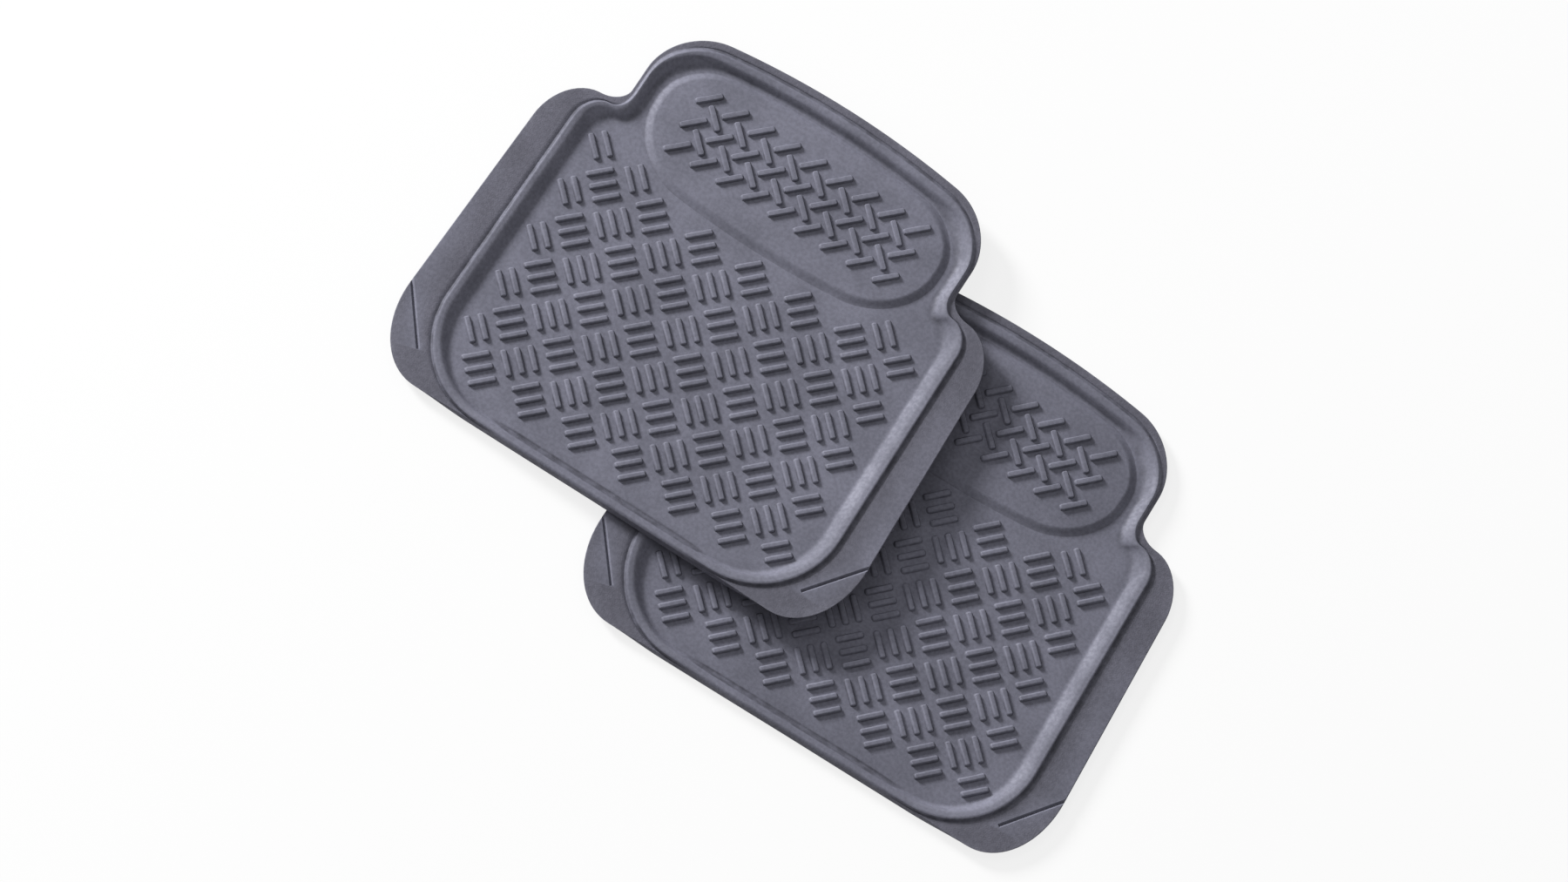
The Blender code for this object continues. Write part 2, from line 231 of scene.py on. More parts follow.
def finished_mesh(item: bpy.types.Object, name: str) -> bpy.types.Mesh:
    """Turn an object with live modifiers into a plain mesh, and remove the object.

    Args:
        item: The object.
        name: Name of the new mesh.

    Returns:
        The evaluated mesh.
    """
    bpy.context.view_layer.update()
    graph = bpy.context.evaluated_depsgraph_get()
    mesh = bpy.data.meshes.new_from_object(
        item.evaluated_get(graph), preserve_all_data_layers=True, depsgraph=graph)
    mesh.name = name
    old = item.data
    bpy.data.objects.remove(item, do_unlink=True)
    if old is not None and old.users == 0:
        bpy.data.meshes.remove(old)
    return mesh


def loft_mesh(name: str, rows: Sequence[np.ndarray]) -> bpy.types.Mesh:
    """Skin a row of like closed contours, with a flat cap at each end.

    Args:
        name: Name of the mesh.
        rows: Contours, each an array of points with x, y, z, a mark of painted shade below zero or
            wear and painted highlight above zero, and coarseness.

    Returns:
        The closed mesh, with its faces turned outwards.
    """
    bm = bmesh.new()
    exposure = bm.verts.layers.float.new(SHADE_AND_WEAR)
    coarse = bm.verts.layers.float.new(COARSE)
    made = []
    for row in rows:
        verts = [bm.verts.new(point[:3]) for point in row]
        for vert, point in zip(verts, row):
            vert[exposure] = point[3]
            vert[coarse] = point[4]
        made.append(verts)
    for row, following in zip(made, made[1:]):
        for index in range(len(row)):
            last = index - 1
            bm.faces.new((row[last], row[index], following[index], following[last]))
    bm.faces.new(made[0])
    bm.faces.new(made[-1])
    bmesh.ops.recalc_face_normals(bm, faces=bm.faces)
    return plain_mesh(name, bm)


def stand_off(rings: Sequence[np.ndarray], index: int, reach: float) -> list[np.ndarray]:
    """Step from one contour a little way towards the two beside it.

    Args:
        rings: Contours with one point each for every place round the outline.
        index: The contour to start from.
        reach: Length of the step; at most just under half the way.

    Returns:
        The contours towards the one before and the one after.
    """
    here = rings[index]
    steps = []
    for other in (rings[index - 1], rings[index + 1]):
        run = other - here
        length = np.linalg.norm(run[:, :3], axis=1, keepdims=True)
        steps.append(here + run * np.minimum(reach / np.maximum(length, TINY), MIDWAY))
    return steps


def rounded_rows(rings: Sequence[np.ndarray], rounding: Sequence[float],
                 steps: int) -> list[np.ndarray]:
    """Round a lofted profile where it turns at its inner contours.

    Args:
        rings: Contours with one point each for every place round the outline.
        rounding: Reach of the rounding at each contour; the first and last aren't read.
        steps: Segments in each rounding.

    Returns:
        The finer contours.
    """
    rows = [rings[0]]
    for index in range(1, len(rings) - 1):
        before, after = stand_off(rings, index, rounding[index])
        flat_before, flat_after = stand_off(rings, index, HOLD * rounding[index])
        rows.append(flat_before)
        for step in range(steps + 1):
            t = step / steps
            rows.append((1 - t) ** 2 * before + 2 * t * (1 - t) * rings[index] + t * t * after)
        rows.append(flat_after)
    return rows + [rings[-1]]


@dataclass(frozen=True)
class Span:
    """A range of values, and the range that it is mapped to."""

    start: float
    end: float
    low: float = 0.0
    high: float = 1.0


class NodeSheet:
    """Adds and feeds the nodes of one node tree."""

    mix_inputs = (0, 6, 7)      # a Mix node's share and its two colours
    mix_output = 2              # the mixed colour

    def __init__(self, tree: bpy.types.NodeTree) -> None:
        """Work on a tree."""
        self.tree = tree

    def ports(self, taken: dict[str, str], given: dict[str, str]) -> tuple[Any, Any]:
        """Add a group's interface, with its input and output nodes.

        Args:
            taken: Kind of each input, by name.
            given: Kind of each output, by name.

        Returns:
            The sockets that bring the inputs, and those that take the outputs.
        """
        for way, kinds in (("INPUT", taken), ("OUTPUT", given)):
            for name, kind in kinds.items():
                self.tree.interface.new_socket(name, in_out=way, socket_type="NodeSocket" + kind)
        return self.add("NodeGroupInput").outputs, self.add("NodeGroupOutput").inputs

    def feed(self, target: Any, source: Any) -> None:
        """Link a socket to an input, or set the input's own value.

        Args:
            target: The input.
            source: A socket or a value.
        """
        if isinstance(source, bpy.types.NodeSocket):
            self.tree.links.new(source, target)
        else:
            target.default_value = source

    def add(self, kind: str, inputs: dict[Any, Any] | None = None, **values: Any) -> bpy.types.Node:
        """Add a node.

        Args:
            kind: Blender's node type.
            inputs: Socket or value for each input, by its name or number.
            **values: Properties to set on the node.

        Returns:
            The new node.
        """
        node = self.tree.nodes.new(kind)
        for key, value in values.items():
            setattr(node, key, value)
        for key, value in (inputs or {}).items():
            self.feed(node.inputs[key], value)
        return node

    def maths(self, operation: str, *terms: Any, clamp: bool = False) -> Any:
        """Work out an operation on sockets and numbers, and give the socket of its result."""
        inputs = dict(enumerate(terms))
        return self.add("ShaderNodeMath", inputs, operation=operation, use_clamp=clamp).outputs[0]

    def span(self, source: Any, span: Span) -> Any:
        """Map a value from one range to another, with eased ends.

        Args:
            source: The socket to map.
            span: Both ranges.

        Returns:
            The mapped output socket.
        """
        inputs = {"Value": source, "From Min": span.start, "From Max": span.end,
                  "To Min": span.low, "To Max": span.high}
        node = self.add("ShaderNodeMapRange", inputs, interpolation_type="SMOOTHSTEP")
        return node.outputs["Result"]

    def blend(self, share: Any, first: Any, second: Any) -> Any:
        """Mix two colours by the second one's share."""
        inputs = dict(zip(self.mix_inputs, (share, first, second)))
        return self.add("ShaderNodeMix", inputs, data_type="RGBA").outputs[self.mix_output]


@dataclass(frozen=True)
class Outline:
    """Plan shape of one mat: straight heel, tapered sides, shoulders and a narrower toe."""

    half_width: float = 0.2836
    length: float = 0.5172
    toe_length: float = 0.1300
    shoulder_fall: float = 0.10
    toe_half_width: float = 0.2012
    crown_radius: float = 0.976
    shoulder_share: float = 0.60
    notch_share: float = 0.36
    heel_level: float = 0.70
    heel_steps: int = 20
    shoulder_steps: int = 12
    notch_steps: int = 10
    toe_steps: int = 20
    crown_steps: int = 12
    heel_shares: tuple[float, ...] = (0.0, 0.35, 0.70, 0.74, 0.78, 0.82, 0.86, 0.90, 0.94, 0.97)

    def crown(self, middle_y: float, from_x: float, side_x: float, up: float) -> list[Vector]:
        """Round a toe corner, then run along the bowed edge to the middle.

        Args:
            middle_y: The edge's place at the middle.
            from_x: Where the bow ends and the corner starts.
            side_x: The side beside the corner.
            up: Reach of the corner down that side.

        Returns:
            Points from the side to the middle.
        """
        depth, slope = arc_depth(self.crown_radius, from_x)
        end = Vector((from_x, middle_y - depth))
        apex = Vector((side_x, end.y - slope * (side_x - from_x)))
        points = quarter(apex - Vector((0.0, up)), apex, end, self.toe_steps)
        for index in range(self.crown_steps - 1, -1, -1):
            x = from_x * index / self.crown_steps
            points.append(Vector((x, middle_y - arc_depth(self.crown_radius, x)[0])))
        return points

    def half(self, inset: Band, turn: Turn) -> list[Vector]:
        """Draw the right half of a contour, from mid heel to mid toe.

        Args:
            inset: Distance in from the outer edge.
            turn: Taper of the sides and reach of the corners.

        Returns:
            Plan points.
        """
        side_x = self.half_width - inset.side
        toe_x = self.toe_half_width - inset.toe_side
        notch = Vector((toe_x, self.length - self.toe_length - inset.shoulder))
        fall = self.shoulder_fall
        shoulder_y = (notch.y - fall * (side_x - toe_x)) / (1.0 - fall * turn.taper)
        shoulder = Vector((side_x - turn.taper * shoulder_y, shoulder_y))
        heel = Vector((side_x - turn.taper * inset.heel, inset.heel))
        up_side = (shoulder - heel).normalized()
        along = notch - shoulder
        heel_end = heel - Vector((turn.heel_across, 0.0))
        points = [Vector((heel_end.x * share, heel_end.y)) for share in self.heel_shares]
        points += quarter(heel_end, heel, heel + up_side * turn.heel_up, self.heel_steps)
        points += quarter(shoulder - up_side * turn.shoulder_up, shoulder,
                          shoulder + along * self.shoulder_share, self.shoulder_steps)
        points += quarter(notch - along * self.notch_share, notch,
                          notch + Vector((0.0, turn.notch_up)), self.notch_steps)
        points += self.crown(self.length - inset.toe, toe_x - turn.toe_across, toe_x, turn.toe_up)
        return points

    def levels(self, value: float | Band) -> np.ndarray:
        """Run a value round the whole outline, from one stretch's level to the next.

        Args:
            value: One level, or the levels along the five stretches.

        Returns:
            The value at every point of a contour.
        """
        v = value if isinstance(value, Band) else Band.even(value)
        span = 1.0 - self.heel_level
        rise = [smooth((share - self.heel_level) / span) for share in self.heel_shares]
        half = [v.heel + (v.side - v.heel) * share for share in rise]
        half += [v.side] * (self.heel_steps + 1)
        corners = ((v.side, v.shoulder, self.shoulder_steps),
                   (v.shoulder, v.toe_side, self.notch_steps),
                   (v.toe_side, v.toe, self.toe_steps))
        for before, after, steps in corners:
            half += [before + (after - before) * smooth(index / steps)
                     for index in range(steps + 1)]
        half += [v.toe] * self.crown_steps
        return np.array(half + list(reversed(half[1:-1])))

    def ring(self, inset: Band, turn: Turn, z: float | Band, exposure: float | Band = 0.0,
             coarse: float = 0.0) -> np.ndarray:
        """Draw a closed contour in space.

        Args:
            inset: Distance in from the outer edge.
            turn: Taper of the sides and reach of the corners.
            z: Height of the contour, or its levels along the five stretches.
            exposure: Wear and painted highlight above zero, painted shade below zero.
            coarse: Share of the coarse flange texture.

        Returns:
            An array of points with x, y, z, the mark of painted shade or wear and painted highlight,
            and coarseness.
        """
        plan = np.array([(p.x, p.y) for p in mirrored(self.half(inset, turn))])
        marks = [self.levels(value) for value in (z, exposure, coarse)]
        return np.column_stack([plan, *marks])


@dataclass(frozen=True)
class RimProfile:
    """Heights and widths of the rim, from the tray floor over the bead to the outer edge."""

    # Heights, and the steps between them
    floor_z: float = 0.0040
    heel_crease: float = 0.0012
    under_z: float = 0.0014
    flange_z: float = 0.0088
    groove_z: float = 0.0077
    high_groove_z: float = 0.0100
    crest_z: float = 0.0118
    crest_round: float = 0.0006
    crest_fall: float = 0.0008
    shoulder_fall: float = 0.0027
    heel_edge_z: float = 0.0015
    heel_lip_z: float = 0.0005
    heel_back_z: float = 0.0046
    sheet: float = 0.0030
    # Widths, and shares of them
    flange: Band = Band(0.0015, 0.0405, 0.0050, 0.0040, 0.0090)
    drop: Band = Band(0.0015, 0.0016, 0.0012, 0.0014, 0.0040)
    crest: Band = Band(0.0075, 0.0072, 0.0025, 0.0028, 0.0078)
    wall: Band = Band(0.0060, 0.0112, 0.0065, 0.0088, 0.0066)
    run_out: Band = Band(0.0040, 0.0120, 0.0060, 0.0060, 0.0040)
    groove_back: Band = Band(0.0030, 0.0012, 0.0003, 0.0009, 0.0009)
    foot_back: float = 0.0010
    groove_share: float = 0.88
    crest_share: float = 0.22
    shoulder_share: float = 0.34
    hollow_shares: tuple[float, float] = (0.35, 0.65)
    # Corners
    edge_turn: Turn = Turn(0.033, 0.066, 0.094, 0.056, 0.019, 0.062, 0.062)
    foot_turn: Turn = Turn(0.012, 0.100, 0.105, 0.032, 0.020, 0.056, 0.060)
    crest_turn: Turn = Turn(0.012, 0.098, 0.102, 0.030, 0.022, 0.055, 0.059)
    floor_turn: Turn = Turn(0.012, 0.082, 0.087, 0.040, 0.025, 0.056, 0.062)
    crest_draw: float = 0.006
    shoulder_draw: float = 0.009
    # Painted shade below zero, at the wall's foot, on the heel wall, in the groove and on the bead's
    # outer face; wear and painted highlight above zero, on the crest and outer edge
    foot_shade: Band = Band(-1.7, -0.3, -0.7, -0.7, -0.6)
    wall_shade_and_wear: Band = Band(-1.7, 0.3, 0.0, 0.3, -0.3)
    crest_shade_and_wear: Band = Band(-0.1, 0.6, 0.6, 0.6, 0.3)
    groove_shade: Band = Band(0.2, -1.0, -1.0, -0.2, -1.0)
    edge_shade_and_wear: Band = Band(0.4, -0.8, -0.6, 0.3, -0.6)
    crest_wear_and_highlight: float = 0.6
    lip_wear: float = 0.3
    hollow_shade: float = -0.4
    # Reaches of the roundings
    foot_ease: float = 0.0030
    wall_ease: float = 0.0022
    crest_ease: float = 0.0012
    drop_ease: float = 0.0008
    groove_ease: float = 0.0010
    flange_ease: float = 0.0016
    edge_ease: float = 0.0011
    under_ease: float = 0.0020
    steps: int = 4

    def crest_outer(self) -> Band:
        """Insets of the bead's outer crest edge."""
        return self.flange.plus(self.drop)

    def wall_foot(self) -> Band:
        """Insets of the foot of the tray wall."""
        return self.crest_outer().plus(self.crest).plus(self.wall)

    def rows(self, outline: Outline) -> list[np.ndarray]:
        """Draw the whole moulding, over the top from the floor out and back underneath.

        Args:
            outline: Plan shape of the mat.

        Returns:
            Contours for a loft.
        """
        outer, foot, none = self.crest_outer(), self.wall_foot(), Band.even(0.0)
        inner = outer.plus(self.crest)
        flat = foot.plus(self.run_out)
        drop_z = self.crest_z - self.crest_round
        low, high = self.groove_z, self.high_groove_z
        groove = Band(high, low, low, high, low)
        hollow = Band(self.heel_back_z, *(z - self.sheet for z in astuple(groove)[1:]))
        crease = Band(self.floor_z - self.heel_crease, *([self.floor_z] * 4))
        edge = Band(self.heel_edge_z, *([self.flange_z] * 4))
        lip = Band(self.heel_lip_z, *([self.flange_z - self.sheet] * 4))
        heel_lip = Band(self.sheet, 0.0, 0.0, 0.0, 0.0)
        crest_in = self.crest_turn.tighter(self.crest_draw)
        wall_in = self.crest_turn.tighter(self.shoulder_draw)
        ring = outline.ring
        # Each contour's mark paints shade at the foot, the heel wall and the groove, and wear with
        # painted highlight on the crest and edge
        stations = [
            (ring(flat, self.floor_turn, self.floor_z), 0.0),
            (ring(foot, self.floor_turn, crease, self.foot_shade), self.foot_ease),
            (ring(inner.plus(self.wall, self.shoulder_share), wall_in,
                  self.crest_z - self.shoulder_fall, self.wall_shade_and_wear), self.wall_ease),
            (ring(inner, crest_in, self.crest_z - self.crest_fall, self.crest_shade_and_wear),
             self.wall_ease),
            (ring(outer.plus(self.crest, self.crest_share), self.crest_turn, self.crest_z,
                  self.crest_wear_and_highlight), self.crest_ease),
            (ring(outer, self.crest_turn, drop_z, self.edge_shade_and_wear), self.drop_ease),
            (ring(self.flange, self.foot_turn, groove, self.groove_shade), self.groove_ease),
            (ring(none.plus(self.flange, self.groove_share), self.foot_turn, self.flange_z,
                  coarse=1.0), self.flange_ease),
            (ring(none, self.edge_turn, edge, self.crest_wear_and_highlight, 1.0), self.edge_ease),
            (ring(heel_lip, self.edge_turn, lip, self.lip_wear, 1.0), self.edge_ease),
            (ring(self.flange.plus(self.groove_back), self.foot_turn, hollow), self.under_ease),
        ]
        for share in self.hollow_shares:
            under = ring(outer.plus(self.crest, share), self.crest_turn,
                         self.crest_z - self.sheet, self.hollow_shade)
            stations.append((under, self.crest_ease))
        stations += [
            (ring(foot.plus(Band.even(-self.foot_back)), self.floor_turn, self.under_z),
             self.under_ease),
            (ring(flat, self.floor_turn, self.under_z), 0.0),
        ]
        return rounded_rows(*zip(*stations), self.steps)


@dataclass(frozen=True)
class ToePad:
    """Raised pad under the toes, with its rows of short bars."""

    length: float = 0.1890
    rise: float = 0.0040
    slope: float = 0.0100
    side_gap: float = 0.0075
    toe_gap: float = 0.0030
    bow_radius: float = 1.0
    heel_turn: tuple[float, float] = (0.077, 0.070)
    toe_turn: tuple[float, float] = (0.060, 0.054)
    flare: float = 0.0012
    sink: float = 0.0006
    tuck: float = 0.0001
    # Wear on the pad's top, and painted shade at its foot
    top_wear: float = 0.3
    foot_shade: float = 0.5
    wear_start: float = 0.4
    steps: int = 9
    bar_pitch: float = 0.0322
    bar_back: float = 0.1056
    bar_columns: int = 9
    bar_rows: int = 3

    def contour(self, outline: Outline, foot: Band, inset: float) -> list[Vector]:
        """Draw the pad's closed outline.

        Args:
            outline: Plan shape of the mat.
            foot: Insets of the tray wall's foot.
            inset: Distance in from the pad's own foot.

        Returns:
            Plan points.
        """
        side_x = outline.toe_half_width - foot.toe_side - self.side_gap - inset
        toe_y = outline.length - foot.toe - self.toe_gap - inset
        heel_y = outline.length - self.length + inset
        across = self.heel_turn[0] - inset
        from_x = side_x - across
        depth, slope = arc_depth(self.bow_radius, from_x)
        start = Vector((from_x, heel_y + depth))
        apex = Vector((side_x, start.y + slope * across))
        count = outline.crown_steps
        across_points = [from_x * index / count for index in range(count)]
        half = [Vector((x, heel_y + arc_depth(self.bow_radius, x)[0])) for x in across_points]
        end = apex + Vector((0.0, self.heel_turn[1] - inset))
        half += quarter(start, apex, end, outline.toe_steps)
        half += outline.crown(toe_y, side_x - self.toe_turn[0] + inset, side_x,
                              self.toe_turn[1] - inset)
        return mirrored(half)

    def rows(self, outline: Outline, rim: RimProfile) -> list[np.ndarray]:
        """Draw the pad's contours, from under the floor up to its top.

        Args:
            outline: Plan shape of the mat.
            rim: Profile whose floor carries the pad.

        Returns:
            Contours for a loft.
        """
        rows = []
        for step in range(-1, self.steps + 1):
            share = max(0, step) / self.steps
            inset = -self.flare + (self.slope + self.flare) * share
            drop = self.sink if step < 0 else 0.0
            z = rim.floor_z - self.tuck - drop + (self.rise + self.tuck) * smooth(share)
            # Wear towards the top, painted shade towards the foot
            wear_and_shading = self.top_wear * smooth(2.0 * (share - self.wear_start))
            wear_and_shading -= self.foot_shade * (1.0 - smooth(2.0 * share))
            points = self.contour(outline, rim.wall_foot(), inset)
            rows.append(np.array([(p.x, p.y, z, wear_and_shading, 0.0) for p in points]))
        return rows

    def bar_spots(self, outline: Outline) -> list[Spot]:
        """Place the pad's bars, which lean each way in turn.

        Args:
            outline: Plan shape of the mat.

        Returns:
            Plan place and lean of every bar.
        """
        spots = []
        for row in range(2 * self.bar_rows - 1):
            lean = Lean.RIGHT if row % 2 == 0 else Lean.LEFT
            columns = self.bar_columns if lean is Lean.RIGHT else self.bar_columns - 1
            y = outline.length - self.bar_back + 0.5 * self.bar_pitch * (row - self.bar_rows + 1)
            for column in range(columns):
                spots.append((self.bar_pitch * (column - 0.5 * (columns - 1)), y, lean))
        return spots


@dataclass(frozen=True)
class RibForm:
    """One raised bar with drafted sides, rounded ends and an eased top."""

    length: float
    width: float
    height: float
    draft: float = 0.0008
    corner: float = 0.0022
    least_corner: float = 0.0004
    full_end: float = 0.98
    flare: float = 0.0007
    sink: float = 0.0006
    # Painted shade round the foot
    foot_shade: float = -1.0
    corner_steps: int = 2
    # Inset in drafts, share of the height and mark, from above the foot to the top: painted shade
    # low on the flanks, wear and painted highlight on the upper edge
    side: tuple[tuple[float, float, float], ...] = (
        (0.0, 0.16, -0.7), (0.75, 0.78, -0.1), (1.4, 0.96, 0.4), (2.6, 1.0, 0.2))

    def outline(self, inset: float) -> list[tuple[float, float]]:
        """Draw the bar's rounded outline.

        Args:
            inset: Distance in from its foot; negative where it flares out.

        Returns:
            Plan points.
        """
        half_x, half_y = 0.5 * self.length - inset, 0.5 * self.width - inset
        radius = min(max(self.corner - inset, self.least_corner), self.full_end * half_y)
        points = []
        for quadrant in range(4):
            sign_x = 1 if quadrant in (0, 3) else -1
            sign_y = 1 if quadrant in (0, 1) else -1
            for step in range(self.corner_steps + 1):
                angle = 0.5 * math.pi * (quadrant + step / self.corner_steps)
                points.append((sign_x * (half_x - radius) + radius * math.cos(angle),
                               sign_y * (half_y - radius) + radius * math.sin(angle)))
        return points

    def mesh(self, name: str) -> bpy.types.Mesh:
        """Model the bar on the plane z = 0, with a foot that reaches just under it.

        Args:
            name: Name of the mesh.

        Returns:
            The closed mesh.
        """
        stations = [(-self.flare, z, self.foot_shade) for z in (-self.sink, 0.0)]
        stations += [(inset * self.draft, share * self.height, wear_and_shading)
                     for inset, share, wear_and_shading in self.side]
        rows = [np.array([(x, y, z, wear_and_shading, 0.0) for x, y in self.outline(inset)])
                for inset, z, wear_and_shading in stations]
        return loft_mesh(name, rows)


@dataclass(frozen=True)
class Weave:
    """Basket weave of ribs over the tray floor, in blocks that lean each way in turn."""

    pitch: float = 0.0612
    start_x: float = 0.0124
    start_y: float = 0.0557
    ribs_per_block: int = 3
    margin: Band = Band(0.0075, -0.0049, -0.0017, 0.0035, 0.0056)
    pad_gap: float = 0.0020
    bare_side: float = 0.0796
    bare_corner: float = 0.1640
    rib: RibForm = RibForm(0.0300, 0.0066, 0.0030)
    bar: RibForm = RibForm(0.0300, 0.0068, 0.0032)

    def has_room(self, x: float, y: float, lean: Lean, field_: Sequence[Vector],
                 pad: Sequence[Vector]) -> bool:
        """Tell whether a rib fits on the floor.

        Args:
            x: Its place across.
            y: Its place along.
            lean: Its lean.
            field_: Outline that it has to stay inside.
            pad: Outline that it has to stay outside.

        Returns:
            True where all its corners are clear.
        """
        turn = Matrix.Rotation(math.radians(lean.value), 2)
        half = Vector((0.5 * self.rib.length, 0.5 * self.rib.width))
        for sign_x, sign_y in ((1, 1), (1, -1), (-1, -1), (-1, 1)):
            corner = Vector((x, y)) + turn @ Vector((sign_x * half.x, sign_y * half.y))
            if not inside(field_, corner) or inside(pad, corner):
                return False
        return True

    def rib_spots(self, outline: Outline, rim: RimProfile, pad: ToePad) -> list[Spot]:
        """Place every rib that has room on the floor.

        Args:
            outline: Plan shape of the mat.
            rim: Profile whose tray holds the ribs.
            pad: Pad that the ribs stay clear of.

        Returns:
            Plan place and lean of every rib.
        """
        foot = rim.wall_foot()
        floor = mirrored(outline.half(foot.plus(self.margin), rim.floor_turn))
        kept_out = pad.contour(outline, foot, -self.pad_gap)
        last_x = outline.half_width - self.bare_side
        last_sum = outline.half_width + outline.length - outline.toe_length - self.bare_corner
        rib_pitch = self.pitch / math.sqrt(2.0) / self.ribs_per_block
        reach = math.ceil(outline.length / self.pitch)
        spots = []
        for column in range(-2 * reach, 2 * reach):
            for row in range(-2, 2 * reach):
                if (column + row) % 2:
                    continue
                lean = Lean.RIGHT if column % 2 == 0 else Lean.LEFT
                angle = math.radians(lean.value)
                for index in range(self.ribs_per_block):
                    step = rib_pitch * (index - 0.5 * (self.ribs_per_block - 1))
                    x = self.start_x + 0.5 * column * self.pitch - math.sin(angle) * step
                    y = self.start_y + 0.5 * row * self.pitch + math.cos(angle) * step
                    if abs(x) >= last_x or x + y >= last_sum:
                        continue
                    if self.has_room(x, y, lean, floor, kept_out):
                        spots.append((x, y, lean))
        return spots


@dataclass(frozen=True)
class TrimLines:
    """Cutting lines moulded across the heel corners of the flanges."""

    depth: float = 0.0024
    half_width: float = 0.0022
    edge_y: float = 0.0975
    bead_y: float = 0.0365
    bead_inset: float = 0.0491
    overrun: float = 0.0040
    # Painted shade in the bottoms of the lines
    shade_level: float = -0.4

    def cutter(self, outline: Outline, rim: RimProfile) -> bpy.types.Mesh:
        """Make two long bars, stood on edge, that cut the lines.

        Args:
            outline: Plan shape of the mat.
            rim: Profile whose flanges are cut.

        Returns:
            The cutter's mesh.
        """
        bm = bmesh.new()
        for hand in (1.0, -1.0):
            edge_x = outline.half_width - rim.edge_turn.taper * self.edge_y
            edge = Vector((hand * edge_x, self.edge_y))
            bead = Vector((hand * (outline.half_width - self.bead_inset), self.bead_y))
            run = edge - bead
            middle = bead + 0.5 * run + run.normalized() * 0.5 * self.overrun
            place = Matrix.Translation((middle.x, middle.y, rim.flange_z))
            place = place @ Matrix.Rotation(math.atan2(run.y, run.x), 4, "Z")
            size = Matrix.Diagonal((run.length + self.overrun, self.half_width, self.depth, 1.0))
            edgewise = Matrix.Rotation(math.radians(45.0), 4, "X")
            edgewise = edgewise @ Matrix.Diagonal((1.0, math.sqrt(2.0), math.sqrt(2.0), 1.0))
            bmesh.ops.create_cube(bm, size=1.0, matrix=place @ size @ edgewise)
        return plain_mesh("trim_lines", bm)

    def shade_lines(self, mesh: bpy.types.Mesh, rim: RimProfile) -> None:
        """Paint shade into the bottoms of the lines once they are cut.

        Args:
            mesh: The cut shell, in the mat's own frame.
            rim: Profile whose flanges are cut.
        """
        places = np.empty(3 * len(mesh.vertices))
        mesh.vertices.foreach_get("co", places)
        z = places.reshape(-1, 3)[:, 2]
        exposure = mesh.attributes[SHADE_AND_WEAR].data
        for index in np.flatnonzero(np.isclose(z, rim.flange_z - self.depth, atol=TOLERANCE)):
            exposure[int(index)].value = self.shade_level


@dataclass(frozen=True)
class GripNibs:
    """Short moulded cones that keep the underside from sliding."""

    spacing: float = 0.0115
    base_radius: float = 0.0020
    tip_radius: float = 0.0009
    margin: float = 0.0050
    sink: float = 0.0003
    sides: int = 8

    def spots(self, outline: Outline, rim: RimProfile) -> list[tuple[float, float]]:
        """Place the nibs in staggered rows over the flat underside.

        Args:
            outline: Plan shape of the mat.
            rim: Profile whose underside carries them.

        Returns:
            Plan places.
        """
        edge = rim.wall_foot().plus(Band.even(self.margin))
        field_ = mirrored(outline.half(edge, rim.floor_turn))
        row_step = self.spacing * math.sqrt(0.75)
        columns = math.ceil(outline.half_width / self.spacing)
        places = []
        for row in range(math.ceil(outline.length / row_step)):
            shift = 0.5 * self.spacing * (row % 2)
            for column in range(-columns, columns + 1):
                spot = Vector((column * self.spacing + shift, row * row_step))
                if inside(field_, spot):
                    places.append((spot.x, spot.y))
        return places


